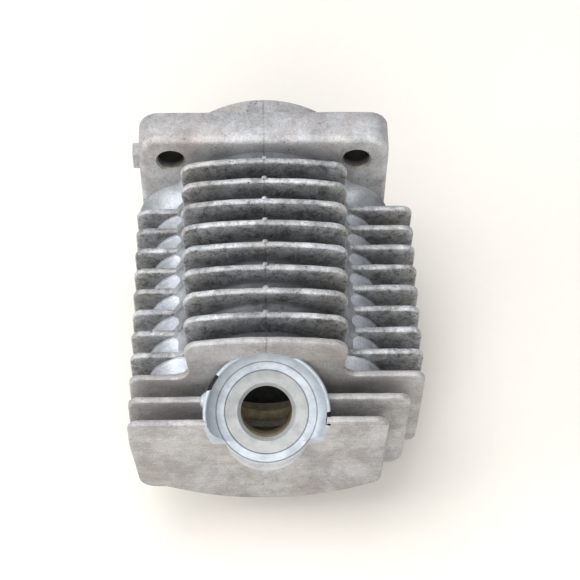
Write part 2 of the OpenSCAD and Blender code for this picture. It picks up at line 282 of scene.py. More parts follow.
# %% Cast aluminium
def cast_aluminium(name, clean, dull, stain, pitted=0.6, stained=0.3, soot_and_shade=0.0, rough=0.5,
                   rim=0.0, soot_and_shade_top=0.0, scratched=0.0, blotched=0.0):
    """Die-cast aluminium: mottling, stains, pits and grain, with the marks that are asked for."""
    material, tree = new_material(name)
    place = add(tree, "TexCoord", {})
    where = add(tree, "Mapping", {"Vector": place.outputs["Object"], "Scale": TO_MM})
    mm = where.outputs[0]
    split = add(tree, "SeparateXYZ", {0: mm})
    x = split.outputs[0]
    z = split.outputs[2]

    # Mottling about 7 mm across, then warm stains about 12 mm across.
    mottle = add(tree, "TexNoise", {"Vector": mm, "Scale": 0.14, "Detail": 7.0, "Roughness": 0.68})
    mixed = add(tree, "MapRange", {"Value": mottle.outputs[0], 1: 0.4, 2: 0.62})
    tone = add(tree, "Mix", {0: mixed.outputs[0], 6: srgb(clean), 7: srgb(dull)}, data_type="RGBA")
    blot = add(tree, "TexNoise", {"Vector": mm, "Scale": 0.085, "Detail": 5.0, "Roughness": 0.65,
                                  "Distortion": 0.8})
    blotted = add(tree, "MapRange", {"Value": blot.outputs[0], 1: 0.47, 2: 0.66, 4: stained})
    tone = add(tree, "Mix", {0: blotted.outputs[0], 6: tone.outputs[2], 7: srgb(stain)},
               data_type="RGBA")

    # Pits are nearly black, because no light comes back out of them.
    bent = add(tree, "TexNoise", {"Vector": mm, "Scale": 1.6, "Detail": 3.0})
    crowd = add(tree, "TexNoise", {"Vector": mm, "Scale": 0.13, "Detail": 3.0})
    pits = pitting(tree, mm, bent, crowd, pitted)
    tone = add(tree, "Mix", {0: pits, 6: tone.outputs[2], 7: srgb("#322F2D")}, data_type="RGBA")

    # The grain of the die, 0.4 mm, drawn coarser than the real one so that it shows.
    grain = add(tree, "TexNoise", {"Vector": mm, "Scale": 2.2, "Detail": 4.0, "Roughness": 0.75})
    shade = add(tree, "MapRange", {"Value": grain.outputs[0], 1: 0.32, 2: 0.68, 3: 0.72, 4: 1.15})
    value = shade.outputs[0]
    if blotched:
        value = burnt_patches(tree, mm, value, blotched)
    if scratched:
        value = scratches(tree, mm, value, scratched)
    # Soot and painted shade in the gaps between the fins, darkest in the middle.
    if soot_and_shade:
        value = soot_and_shade_inside(tree, x, grain, value, soot_and_shade)
    # Dirt and painted shade on top, where the barrel shows between the fins.
    if soot_and_shade_top:
        top = add(tree, "MapRange", {"Value": z, 1: 11.5, 2: 17.0, 3: 1.0, 4: 1.0 - soot_and_shade_top})
        value = add(tree, "Math", {0: value, 1: top.outputs[0]}, operation="MULTIPLY").outputs[0]
    # Rims: partly wear, partly a painted highlight.
    if rim:
        value = rubbed_and_highlit_rim(tree, place.outputs["Normal"], shade, value, rim)
    value = parting_line(tree, x, z, bent, crowd, value)

    tone = add(tree, "VectorMath", {0: tone.outputs[2], "Scale": value}, operation="SCALE")
    gloss = add(tree, "MapRange", {"Value": mottle.outputs[0], 1: 0.3, 2: 0.7,
                                   3: rough - 0.06, 4: rough + 0.12})
    high = add(tree, "Math", {0: grain.outputs[0], 1: mottle.outputs[0]}, operation="ADD")
    low = add(tree, "Math", {0: high.outputs[0], 1: pits}, operation="SUBTRACT")
    relief = add(tree, "Bump", {"Height": low.outputs[0], "Strength": 0.6, "Distance": 0.3 * MM})
    metal = add(tree, "BsdfPrincipled", {"Base Color": tone.outputs[0], "Metallic": 0.55,
                                         "Roughness": gloss.outputs[0], "Normal": relief.outputs[0]})
    add(tree, "OutputMaterial", {"Surface": metal.outputs[0]})
    return material


# The flange: pale and satin, with warm stains that show how flat it is.
cast_skin = cast_aluminium("die_cast_skin", "#C6C7CA", "#A4A4A6", "#A2958F", pitted=0.6, stained=0.45,
                           blotched=0.14)
# The lobes: cleaner and smoother, with a paler, cooler tone that is a painted sheen, so they shine between
# the dull wings.
cast_lobe = cast_aluminium("die_cast_smooth_sheen", "#D6DCE4", "#B6BCC4", "#ABA9A8", pitted=0.2,
                           stained=0.2, rough=0.4)
# The fins: faces with dirt and painted shade, and rims rubbed bright with a painted highlight, which draw
# the outline of each one.
cast_fin = cast_aluminium("die_cast_fin", "#B9BCC0", "#8E9093", "#958E82", pitted=0.8,
                          stained=0.45, soot_and_shade=0.44, rim=0.34, blotched=0.62)
# The barrel: darker on top, with dirt and painted shade, which makes the gaps look deep.
cast_root = cast_aluminium("sooty_shaded_barrel", "#B9BDC2", "#96999D", "#8F8B85", pitted=0.6, stained=0.3,
                           soot_and_shade_top=0.62)
# The end plate: even and faintly scratched, so it reads as one flat face, with a faint painted highlight on
# its rims.
cast_plate = cast_aluminium("die_cast_plate", "#B8B8BA", "#9C9B9C", "#A0978F", pitted=0.35,
                            stained=0.4, rim=0.08, scratched=0.12, blotched=0.12)
print("cast finishes:", len(bpy.data.materials))


# %% [markdown]
# Light hardly reaches the inside of a hole, so that shade is painted in. A drilled
# wall keeps some shine at its mouth and fades into painted shade with depth, burnt
# oil is a dull brown film, and an open pit is painted almost black, as shade.

# %% Dark metal
def dark_metal(name, light, dark, rough, fade=None):
    """Dull, blotchy metal. Between the two places along Y in fade it goes dark, which is painted shade."""
    material, tree = new_material(name)
    place = add(tree, "TexCoord", {})
    where = add(tree, "Mapping", {"Vector": place.outputs["Object"], "Scale": TO_MM})
    cloud = add(tree, "TexNoise", {"Vector": where.outputs[0], "Scale": 0.5, "Detail": 6.0,
                                   "Roughness": 0.7})
    mixed = add(tree, "MapRange", {"Value": cloud.outputs[0], 1: 0.35, 2: 0.65})
    tone = add(tree, "Mix", {0: mixed.outputs[0], 6: srgb(light), 7: srgb(dark)}, data_type="RGBA")
    colour = tone.outputs[2]
    if fade:
        split = add(tree, "SeparateXYZ", {0: where.outputs[0]})
        depth = add(tree, "MapRange", {"Value": split.outputs[1], 1: fade[0], 2: fade[1], 3: 1.0, 4: 0.04})
        colour = add(tree, "VectorMath", {0: colour, "Scale": depth.outputs[0]},
                     operation="SCALE").outputs[0]
    relief = add(tree, "Bump", {"Height": cloud.outputs[0], "Strength": 0.4, "Distance": 0.2 * MM})
    metal = add(tree, "BsdfPrincipled", {"Base Color": colour, "Metallic": 0.3, "Roughness": rough,
                                         "Normal": relief.outputs[0]})
    add(tree, "OutputMaterial", {"Surface": metal.outputs[0]})
    return material


# Bolt hole walls go dark with depth: painted shade.
bolt_hole = dark_metal("drilled_hole", "#9A9894", "#6E6C69", 0.6, fade=(-9.6, -7.2))
burnt_film = dark_metal("burnt_film", "#C2B69C", "#8E846E", 0.7)
# Open pits: near-black, painted shade where no light comes back out.
open_pit = dark_metal("open_pit", "#2A2827", "#141312", 0.9)
print("with the dark ones:", len(bpy.data.materials))


# %% [markdown]
# ## Cut metal
# The seat and the bowl round the plug hole are milled, and the bore is honed.
# Cutting takes the cast skin off, so these faces are cleaner and brighter, with
# fine rings round the cutter's axis and a dark line of painted shade wherever two
# cuts meet. The rings are a sine of the distance from that axis.

# %% Milled and bored metal
plug_lean = math.radians(54)  # how far the plug axis rises from the bore axis
plug_axis = Vector((0, -math.cos(plug_lean), math.sin(plug_lean)))
seat_centre = Vector((0, -77.056, 7.6)) * MM
seat_r = 10.38  # the edge of the flat seat
land_r = 12.45  # the edge of the flat land round it


def milled_aluminium(name, light, dark, rough, metallic=0.4, shade_line_radii=()):
    """Cut aluminium: bright, with fine turning rings, and a line of painted shade where two cuts meet."""
    material, tree = new_material(name)
    place = add(tree, "TexCoord", {})
    moved = add(tree, "VectorMath", {0: place.outputs["Object"], 1: tuple(seat_centre)},
                operation="SUBTRACT")
    turned = add(tree, "VectorRotate", {"Vector": moved.outputs[0], "Angle": plug_lean - math.pi / 2},
                 rotation_type="X_AXIS")
    split = add(tree, "SeparateXYZ", {0: turned.outputs[0]})
    flat = add(tree, "CombineXYZ", {0: split.outputs[0], 1: split.outputs[1]})
    radius = add(tree, "VectorMath", {0: flat.outputs[0]}, operation="LENGTH")
    steps = add(tree, "Math", {0: radius.outputs["Value"], 1: 2 * math.pi / (0.45 * MM)},
                operation="MULTIPLY")
    rings = add(tree, "Math", {0: steps.outputs[0]}, operation="SINE")
    where = add(tree, "Mapping", {"Vector": place.outputs["Object"], "Scale": TO_MM})
    cloud = add(tree, "TexNoise", {"Vector": where.outputs[0], "Scale": 0.3, "Detail": 5.0,
                                   "Roughness": 0.65})
    mixed = add(tree, "MapRange", {"Value": cloud.outputs[0], 1: 0.4, 2: 0.66})
    tone = add(tree, "Mix", {0: mixed.outputs[0], 6: srgb(light), 7: srgb(dark)}, data_type="RGBA")
    dent = add(tree, "TexNoise", {"Vector": where.outputs[0], "Scale": 0.8, "Detail": 3.0})
    height = add(tree, "Math", {0: rings.outputs[0], 1: 0.12, 2: dent.outputs[0]},
                 operation="MULTIPLY_ADD")
    relief = add(tree, "Bump", {"Height": height.outputs[0], "Strength": 0.35, "Distance": 0.12 * MM})
    gloss = add(tree, "MapRange", {"Value": cloud.outputs[0], 1: 0.3, 2: 0.7, 3: rough, 4: rough + 0.12})
    colour = tone.outputs[2]
    # A dark ring of painted shade at each step between two cuts.
    for ring in shade_line_radii:
        gap = add(tree, "Math", {0: radius.outputs["Value"], 1: ring * MM}, operation="SUBTRACT")
        gap = add(tree, "Math", {0: gap.outputs[0]}, operation="ABSOLUTE")
        line = add(tree, "MapRange", {"Value": gap.outputs[0], 1: 0.06 * MM, 2: 0.24 * MM,
                                      3: 0.42, 4: 1.0})
        colour = add(tree, "VectorMath", {0: colour, "Scale": line.outputs[0]},
                     operation="SCALE").outputs[0]
    metal = add(tree, "BsdfPrincipled", {"Base Color": colour, "Metallic": metallic,
                                         "Roughness": gloss.outputs[0], "Normal": relief.outputs[0]})
    add(tree, "OutputMaterial", {"Surface": metal.outputs[0]})
    return material


# The seat: clean and flat, with one line of painted shade where it ends.
milled_seat = milled_aluminium("milled_seat", "#9B9EA0", "#8B8E90", 0.46, shade_line_radii=(seat_r,))
# The bowl: brighter and bluish, a painted reflection of the sky in its walls, with lines of painted shade
# at the seat and land edges.
milled_bowl = milled_aluminium("milled_bowl", "#AEB7C0", "#9AA2AB", 0.5, shade_line_radii=(seat_r, land_r))
# The bore: painted darker, as shade, so that the plug hole reads as a hole.
machined_bore = milled_aluminium("honed_bore_painted_shade", "#5E5E60", "#454546", 0.45)
print("all finishes:", len(bpy.data.materials))


# %% [markdown]
# ## Working in edit mode
# An operator acts on everything that is selected, and a new primitive arrives
# selected all over. So each piece is opened alone with nothing selected, and its
# faces or edges are then picked in code, by where they are.

# %% Helpers for edit mode
def activate(piece):
    """Selects one piece alone and makes it active."""
    bpy.ops.object.select_all(action="DESELECT")
    piece.select_set(True)
    bpy.context.view_layer.objects.active = piece


def edit(piece):
    """Opens one piece in edit mode, with nothing of it selected."""
    activate(piece)
    bpy.ops.object.mode_set(mode="EDIT")
    bpy.ops.mesh.select_mode(type="EDGE")
    bpy.ops.mesh.select_all(action="DESELECT")


def done():
    """Closes the piece that is open in edit mode."""
    bpy.ops.object.mode_set(mode="OBJECT")


def pick(piece, wanted):
    """Selects the edges of the open piece for which wanted() is true."""
    mesh = bmesh.from_edit_mesh(piece.data)
    for edge in mesh.edges:
        edge.select_set(wanted(edge))
    bmesh.update_edit_mesh(piece.data)


def apply(piece, kind, **settings):
    """Adds a modifier with these settings and applies it."""
    activate(piece)
    modifier = piece.modifiers.new(kind.lower(), kind)
    for name, value in settings.items():
        setattr(modifier, name, value)
    bpy.ops.object.modifier_apply(modifier=modifier.name)


def copy_of(node, name):
    """A copy of a CAD node as a clean mesh: corners merged, flat faces joined."""
    piece = bpy.data.objects.new(name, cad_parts[node].data.copy())
    scene.collection.objects.link(piece)
    piece.data.materials.clear()
    edit(piece)
    bpy.ops.mesh.select_all(action="SELECT")
    bpy.ops.mesh.customdata_custom_splitnormals_clear()
    bpy.ops.mesh.remove_doubles(threshold=0.002 * MM)
    bpy.ops.mesh.dissolve_limited(angle_limit=math.radians(0.5))
    bpy.ops.mesh.normals_make_consistent(inside=False)
    done()
    return piece


def finish(piece, slot, *nodes):
    """Shades a piece, ties it to the body and hides the CAD nodes it stands for. The slot is not used."""
    activate(piece)
    bpy.ops.object.shade_smooth_by_angle(angle=math.radians(30))
    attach(piece, "root")
    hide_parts(*nodes)
    print(piece.name, "faces:", len(piece.data.polygons))


# %% [markdown]
# ## Outlines
# Fins, flange and end plate are flat castings: one outline, given a thickness. An
# outline is a short list of corners, each with the radius that rounds it. A filled
# circle is added, its rim is moved to the outline, and it is extruded.

# %% Outlines
def corner_arc(a, b, c, radius, steps=6):
    """Points of the arc that rounds corner b between its neighbours a and c."""
    to_a, to_c = (a - b).normalized(), (c - b).normalized()
    half = to_a.angle(to_c) / 2
    middle = b + (to_a + to_c).normalized() * radius / math.sin(half)
    start = b + to_a * radius / math.tan(half) - middle
    end = b + to_c * radius / math.tan(half) - middle
    sweep = math.pi - 2 * half
    return [middle + (start * math.sin(sweep * (1 - i / steps)) + end * math.sin(sweep * i / steps))
            / math.sin(sweep) for i in range(steps + 1)]


def rounded(corners):
    """An outline from corners (x, z, radius) in millimetres."""
    points = []
    for i, (x, z, radius) in enumerate(corners):
        here = Vector((x, z))
        before = Vector(corners[i - 1][:2])
        after = Vector(corners[(i + 1) % len(corners)][:2])
        points += corner_arc(before, here, after, radius) if radius else [here]
    return points


def plate_from(name, outline, y_rear, y_front):
    """A disc whose rim is moved to an outline, then extruded to a plate."""
    bpy.ops.object.select_all(action="DESELECT")
    bpy.ops.mesh.primitive_circle_add(vertices=len(outline), fill_type="NGON")
    piece = bpy.context.object
    piece.name = name
    for vertex, point in zip(piece.data.vertices, outline):
        vertex.co = (point.x * MM, y_rear, point.y * MM)
    bpy.ops.object.mode_set(mode="EDIT")
    bpy.ops.mesh.select_all(action="SELECT")
    bpy.ops.mesh.extrude_region_move(TRANSFORM_OT_translate={"value": (0, y_front - y_rear, 0)})
    bpy.ops.mesh.select_all(action="SELECT")
    bpy.ops.mesh.normals_make_consistent(inside=False)
    done()
    return piece


def round_rim(piece, y_values, width, segments):
    """Bevels the edges that lie in the planes y of the list."""
    edit(piece)
    pick(piece, lambda e: any(all(abs(v.co.y - y) < 0.01 * MM for v in e.verts) for y in y_values)
         and len(e.link_faces) == 2 and e.calc_face_angle() > 1)
    bpy.ops.mesh.bevel(offset=width, segments=segments, profile=0.5, clamp_overlap=False)
    done()


def grid_cut(piece, step):
    """Cuts a piece into cells, so that its faces can be made uneven."""
    low = Vector([min(v.co[i] for v in piece.data.vertices) for i in range(3)])
    high = Vector([max(v.co[i] for v in piece.data.vertices) for i in range(3)])
    edit(piece)
    for axis, normal in ((0, (1, 0, 0)), (2, (0, 0, 1))):
        count = int((high[axis] - low[axis]) / step)
        for i in range(1, count + 1):
            point = low.copy()
            point[axis] += i * (high[axis] - low[axis]) / (count + 1)
            bpy.ops.mesh.select_all(action="SELECT")
            bpy.ops.mesh.bisect(plane_co=point, plane_no=normal)
    done()


def uneven(piece, depth, size):
    """Presses a cast surface in by up to a depth, in soft dents of a size."""
    dents = bpy.data.textures.new(piece.name + "_dents", "CLOUDS")
    dents.noise_scale = size
    dents.noise_depth = 1
    apply(piece, "DISPLACE", texture=dents, texture_coords="LOCAL", mid_level=1.0, strength=depth)


# %% [markdown]
# ## The outlines of the fins
# Eleven thin plates carry heat away. Nine of them rise in a crest over the barrel,
# and the last two are low to clear the plug. They could be one array, but each
# crest is a little lower and narrower than the one before, so a function draws
# each fin from its box.

# %% Outlines of the fins
crest_half = 22  # half the width of the first crest
crest_taper = 0.2  # what each next crest loses on each side
crown_r = 110  # the radius of a crest's top edge
left_top = 11.2  # the tops of the wings
right_top = 12
wing_bottom = -19.9
foot_half = 20  # half the width of a foot
deep_foot = -32.5  # where the feet of fins 2 to 5 end
plate_arc_r = 54  # the curved lower edge of the end plate
plate_arc_z = 27.6


def crown_z(top, x):
    """The height of a crest's curved top edge at x."""
    return top - crown_r + math.sqrt(crown_r ** 2 - x ** 2)


def left_wing(left):
    """The corners (x, z, radius) of a left wing, downward."""
    return [(left, left_top, 3), (left, 2, 0), (left + 1.8, wing_bottom, 4.5)]


def foot(bottom):
    """The corners of the foot under a fin, from left to right."""
    return [(-foot_half - 1, wing_bottom, 1.2), (-foot_half, bottom, 4), (foot_half, bottom, 4),
            (foot_half + 1, wing_bottom, 1.2)]


def fin_outline(number):
    """The outline of a crested fin, from its box and the sizes that all fins share."""
    low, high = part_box(f"fin_{number:02d}")
    top, right, left = high.z / MM, high.x / MM, low.x / MM
    half = crest_half - crest_taper * (number - 1)
    bottom = deep_foot if 2 <= number <= 5 else low.z / MM
    crown = [(i * half / 5, crown_z(top, i * half / 5), 0) for i in (3, 2, 1, 0, -1, -2, -3)]
    edge = crown_z(top, half)
    return rounded([(half - 1.5, right_top, 3.5), (half, edge, 4)] + crown
                   + [(-half, edge, 4), (1.5 - half, left_top, 3.5)] + left_wing(left) + foot(bottom)
                   + [(right - 0.5, wing_bottom, 2.5), (right, right_top, 3)])


def low_outline(number):
    """The outline of fin 10, which has no crest, and of the end plate with its curved edge."""
    low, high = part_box(f"fin_{number:02d}")
    right, left = high.x / MM, low.x / MM
    start = [(0, right_top, 0), (-12, left_top, 0)] + left_wing(left)
    if number == 11:
        arc = [(x, plate_arc_z - math.sqrt(plate_arc_r ** 2 - x ** 2), 0) for x in range(-26, 27, 4)]
        return rounded(start + arc + [(right - 0.5, -17.8, 3), (right, right_top, 3)])
    return rounded(start + foot(low.z / MM) + [(right - 0.5, wing_bottom, 4), (right, right_top, 3)])


# %% [markdown]
# ## Turning, joining and cutting
# Spin turns an outline round an axis, as a lathe does. Boolean modifiers then join
# solids or take one away from another. They need closed solids, so every outline
# is closed before it is spun.

# %% Turning, joining and cutting
def quarter(cx, cy, radius, start, end, steps):
    """Points of an arc round (cx, cy), from one angle to another in degrees."""
    return [(cx + radius * math.cos(math.radians(start + (end - start) * i / steps)),
             cy + radius * math.sin(math.radians(start + (end - start) * i / steps)))
            for i in range(steps + 1)]


def rod(radius, start, end):
    """The outline of a plain rod between two heights."""
    return [(0, start), (radius, start), (radius, end), (0, end)]


def spun(name, outline, steps, centre=(0, 0, 0), axis=(0, 1, 0)):
    """Turns a closed outline of (radius, height) round an axis through a centre."""
    axis = Vector(axis).normalized()
    side = Vector((1, 0, 0))
    mesh = bpy.data.meshes.new(name)
    points = [Vector(centre) + side * r * MM + axis * h * MM for r, h in outline]
    edges = [(i, (i + 1) % len(points)) for i in range(len(points))]
    mesh.from_pydata(points, edges, [])
    piece = bpy.data.objects.new(name, mesh)
    scene.collection.objects.link(piece)
    edit(piece)
    bpy.ops.mesh.select_all(action="SELECT")
    bpy.ops.mesh.spin(steps=steps, angle=2 * math.pi, center=centre, axis=axis)
    bpy.ops.mesh.select_all(action="SELECT")
    bpy.ops.mesh.remove_doubles(threshold=0.005 * MM)
    bpy.ops.mesh.normals_make_consistent(inside=False)
    done()
    return piece


def block(name, low, high):
    """A box between two corners in millimetres."""
    bpy.ops.object.select_all(action="DESELECT")
    bpy.ops.mesh.primitive_cube_add(size=1)
    piece = bpy.context.object
    piece.name = name
    low, high = Vector(low) * MM, Vector(high) * MM
    piece.data.transform(Matrix.Translation((low + high) / 2) @ Matrix.Diagonal((*(high - low), 1)))
    return piece


def join(piece, other):
    """Makes one solid of a piece and another, which is used up."""
    apply(piece, "BOOLEAN", object=other, operation="UNION", solver="EXACT")
    bpy.data.objects.remove(other)


def cut_with(piece, *cutters):
    """Cuts pieces away from a piece. The cut faces take the cutter's material."""
    for cutter in cutters:
        apply(piece, "BOOLEAN", object=cutter, operation="DIFFERENCE", solver="EXACT",
              material_mode="TRANSFER")


# %% [markdown]
# ## Cutters
# A foundry leaves room for the bore, and a mill then clears the plug seat. The
# same is done here with solids that are taken away. Cut faces take the cutter's
# material, so a milled face is bright where it was cut.

# %% Round cutters
deck_y = -60.54  # where the bore ends and the dome begins
head_end = -67.64  # where the wide part of the head ends
plug_hole_r = 6.4  # the core of the plug's thread
boss_room_r = 15.5  # the fins are cleared this wide for the boss
bowl_r = 14.72  # and this wide in front of it, for the mill
dome_r = 16.25  # the dome is part of a ball with this radius
dome_y = -54.29  # and this centre

seat_room = [(0, -16.2), (9.4, -16.2), (9.4, -0.9), (boss_room_r, -0.9), (boss_room_r, 5.7),
             (bowl_r, 5.7), (bowl_r, 45), (0, 45)]
seat_cutter = spun("seat_cutter", seat_room, 144, seat_centre, plug_axis)
seat_cutter.data.materials.append(milled_seat)
plug_cutter = spun("plug_cutter", rod(plug_hole_r, -24, -10), 64, seat_centre, plug_axis)
plug_cutter.data.materials.append(burnt_film)
bore_cutter = spun("bore_cutter", [(0, 30), (23.6, 30), (23.6, -60.3), (21.2, -60.3), (21.2, -67.9),
                                   (0, -67.9)], 96)
neck_cutter = spun("neck_cutter", rod(12, -60, -80.9), 64)
dome_arc = [(dome_r * math.sin(math.radians(a)), dome_y - dome_r * math.cos(math.radians(a)))
            for a in range(0, 66, 5)]
dome_cutter = spun("dome_cutter", dome_arc + [(15, deck_y), (24, deck_y), (24, -50), (0, -50)], 96)
dome_cutter.data.materials.append(burnt_film)

# %% [markdown]
# Two windows in the bore let the charge in from the transfer ducts, and a third
# lets the exhaust out. They are plain boxes, and a duct is a flat outline
# extruded along the bore.

# %% Cutters for the ports
window_start = -26  # the transfer windows along the bore
window_end = -36
window_half = 6.5  # half their height, and the ducts'
duct_r = 8.8  # the inside of a lobe


def duct_outline(side):
    """The transfer duct between the barrel and the inside of a lobe, from low to high and back."""
    heights = [-window_half + i * 2 * window_half / 8 for i in range(9)]
    outer = [Vector((side * (lobe_x + math.sqrt(duct_r ** 2 - z * z)), z)) for z in heights]
    inner = [Vector((side * math.sqrt(barrel_r ** 2 - z * z), z)) for z in reversed(heights)]
    return outer + inner


port_cutter = block("port_cutter", (-21.8, -43.8, -32.6), (21.8, -20.2, -12))
window_cutter = block("window_cutter", (-25.3, window_end, -window_half), (25.3, window_start, window_half))
exhaust_cutter = block("exhaust_cutter", (-12, -38, -34), (12, -26, 0))
duct_cutters = [plate_from("duct_cutter", duct_outline(side), 1 * MM, window_end * MM) for side in (-1, 1)]
cutters = [seat_cutter, plug_cutter, bore_cutter, neck_cutter, port_cutter, window_cutter,
           exhaust_cutter, dome_cutter] + duct_cutters
print("cutters:", len(cutters))

# %% [markdown]
# ## Cooling fins
# Each outline becomes a plate. Rounded rims and shallow dents take away the look
# of sawn sheet, and the die leaves a small nub in the middle of each crest. The
# cuts come last, so that they stay sharp.

# %% Cooling fins
def add_nub(fin, high):
    """The small nub in the middle of a crest, near its highest corner."""
    bpy.ops.mesh.primitive_uv_sphere_add(segments=16, ring_count=10, radius=1, location=(0, 0, 0))
    nub = bpy.context.object
    nub.data.transform(Matrix.Translation((0, high.y - 0.35 * MM, high.z - 0.25 * MM))
                       @ Matrix.Diagonal((0.75 * MM, 0.7 * MM, 0.6 * MM, 1)))
    join(fin, nub)


fins = []
for number in range(1, 12):
    node = f"fin_{number:02d}"
    low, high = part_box(node)
    outline = fin_outline(number) if number < 10 else low_outline(number)
    fin = plate_from(f"cast_fin_{number:02d}", outline, high.y, low.y)
    round_rim(fin, (low.y, high.y), 0.72 * MM, 3)
    grid_cut(fin, 2.0 * MM)
    uneven(fin, 0.22 * MM, 5 * MM)
    fin.data.materials.append(cast_fin if number < 9 else cast_plate)
    if number < 9:
        add_nub(fin, high)
        cut_with(fin, bore_cutter)
    if 1 < number < 6:
        cut_with(fin, port_cutter)
    if number >= 9:
        cut_with(fin, seat_cutter)
    if number in (9, 10):
        cut_with(fin, neck_cutter)
    finish(fin, "cast_fin", node)
    fins.append(fin)


# %% [markdown]
# ## Barrel
# The barrel, the lobes beside it and the head are outlines spun round an axis.
# Castings have no sharp inner corners, so the outlines rise in a small fillet at
# both faces of every fin, and in a large one at the flange.

# %% Barrel
flange_y = -10  # the front face of the flange
barrel_root = 3.4  # the fillet between barrel and flange
lining_r = 23.25  # the room for the bore lining


def scalloped(radius, fillet, y_start, y_end, fins_y):
    """Outline points (radius, y) of a wall that rises in a fillet at each face of each fin."""
    points = [(radius, y_start)]
    for rear, front in fins_y:
        if rear < y_start:
            points += quarter(radius + fillet, rear + fillet, fillet, 180, 270, 5)
        if front > y_end:
            points += quarter(radius + fillet, front - fillet, fillet, 90, 180, 5)
    points.append((radius, y_end))
    return points


def at_flange(radius, fillet):
    """Outline points of the fillet in which a wall rises from the flange."""
    return quarter(radius + fillet, flange_y - fillet, fillet, 90, 180, 8)


fin_boxes = [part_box(f"fin_{number:02d}") for number in range(1, 12)]
fin_planes = [(high.y / MM, low.y / MM) for low, high in fin_boxes]
barrel_wall = at_flange(barrel_r, barrel_root) + scalloped(barrel_r, 1.3, -13.5, deck_y, fin_planes[:7])[1:]
barrel = spun("finned_barrel", barrel_wall + [(lining_r, deck_y), (lining_r, flange_y)], 120)
barrel.data.materials.append(cast_root)
barrel.data.materials.append(cast_lobe)
# The fillet at the flange takes the lobes' finish, with its painted sheen.
for face in barrel.data.polygons:
    face.material_index = 1 if face.center.y > -13.6 * MM else 0
cut_with(barrel, window_cutter, exhaust_cutter)
finish(barrel, "cast_root", "barrel")

# %% [markdown]
# ## Side lobes
# The two lobes hold the passages that carry the charge upward. They are round
# bars beside the barrel, and the bore cutter takes off the part inside it.

# %% Side lobes
lobe_root = 4.9  # the fillet between lobe and flange
lobe_wall = at_flange(lobe_r, lobe_root) + scalloped(lobe_r, 0.6, -15, head_end, fin_planes[:8])[1:]
lobe_shape = [(0, flange_y)] + lobe_wall + [(0, head_end)]
for side, name, duct_cutter in ((-1, "left", duct_cutters[0]), (1, "right", duct_cutters[1])):
    lobe = spun("lobe_" + name, lobe_shape, 72, (side * lobe_x * MM, 0, 0))
    lobe.data.materials.append(cast_lobe)
    cut_with(lobe, bore_cutter, window_cutter, duct_cutter)
    finish(lobe, "cast_skin", "transfer_duct_" + name)

# %% [markdown]
# ## Head
# The head closes the bore with a dome, and narrows to a neck under the last fins.
# The dome and the flat deck round it are coated with burnt oil.

# %% Head
neck_fillet = 1.2
shoulder = [(barrel_r, deck_y), (barrel_r, -61.3), (22, -63.0)]
shoulder += quarter(23.3, head_end + 1.3, 1.3, 180, 270, 5) + [(16.8, head_end)]
neck = []
for rear, front, wall_r in ((-74.22, -69.64, 15.0), (-80.8, -76.22, 13.6)):
    neck += quarter(wall_r + neck_fillet, front - neck_fillet, neck_fillet, 90, 180, 4)
    neck += quarter(wall_r + neck_fillet, rear + neck_fillet, neck_fillet, 180, 270, 4)
head = spun("domed_head", dome_arc + [(15, deck_y)] + shoulder + neck + [(0, -80.8)], 96)
head.data.materials.append(cast_root)
cut_with(head, seat_cutter, plug_cutter)
head.data.materials.append(burnt_film)
for face in head.data.polygons:
    reach = (face.center - Vector((0, dome_y * MM, 0))).length
    in_dome = reach < (dome_r + 0.05) * MM and face.center.y < -60.5 * MM
    on_deck = abs(face.center.y - deck_y * MM) < 0.01 * MM
    if in_dome or on_deck:
        face.material_index = len(head.data.materials) - 1
finish(head, "cast_root", "cylinder_head")

# %% [markdown]
# ## Base flange
# A thick square plate that four bolts hold to the crankcase. It is an extruded
# outline with a wide soft front edge, as the die needs, and a small rear edge,
# because that face is machined flat. The holes are drilled after the surface is
# made uneven, so that they stay round.

# %% Base flange
corner_r = 5.5
half_pitch = 24.4  # half the distance between two bolts
bolt_r = 3.5
low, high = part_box("base_flange")
half_w, half_h = high.x / MM, high.z / MM
flange_outline = rounded([(half_w, half_h, corner_r), (-half_w, half_h, corner_r),
                          (-half_w, -half_h, corner_r), (half_w, -half_h, corner_r)])
flange = plate_from("crankcase_flange", flange_outline, 0, flange_y * MM)
round_rim(flange, (flange_y * MM,), 1.8 * MM, 5)
round_rim(flange, (0,), 0.5 * MM, 2)
flange.data.materials.append(cast_skin)
pad = block("pad", (low.x / MM, -7, 17.8), (-half_w + 1, -3, 23.8))
round_rim(pad, (-7 * MM,), 0.4 * MM, 2)
join(flange, pad)
grid_cut(flange, 3.0 * MM)
uneven(flange, 0.15 * MM, 7 * MM)
print("flange faces before the holes:", len(flange.data.polygons))

# %% [markdown]
# The bore lining sits in the flange with a wide collar, so a stepped cutter makes
# room for it. Each bolt hole is a drill's shape: a cylinder with a small
# countersink in front.

# %% Holes in the flange
collar_room = [(0, 1), (25.2, 1), (25.2, -3), (24.2, -3), (24.2, -11), (0, -11)]
collar_cutter = spun("collar_cutter", collar_room, 96)
cut_with(flange, collar_cutter, *duct_cutters)
bpy.data.objects.remove(collar_cutter)
drill_shape = [(0, 1), (bolt_r, 1), (bolt_r, -9.3), (4.2, -10.2), (0, -10.2)]
for x, z in ((-1, -1), (-1, 1), (1, -1), (1, 1)):
    centre = (x * half_pitch * MM, 0, z * half_pitch * MM)
    drill = spun("drill", drill_shape, 48, centre)
    drill.data.materials.append(bolt_hole)
    cut_with(flange, drill)
    bpy.data.objects.remove(drill)
finish(flange, "cast_skin", "base_flange")

# %% [markdown]
# ## Spark plug boss
# A round boss leans between the last fins, with the plug hole, a flat seat and a
# milled bowl in it. In front of the end plate it is only a short nose. Both are
# spun, cut along the plate's plane, and joined.

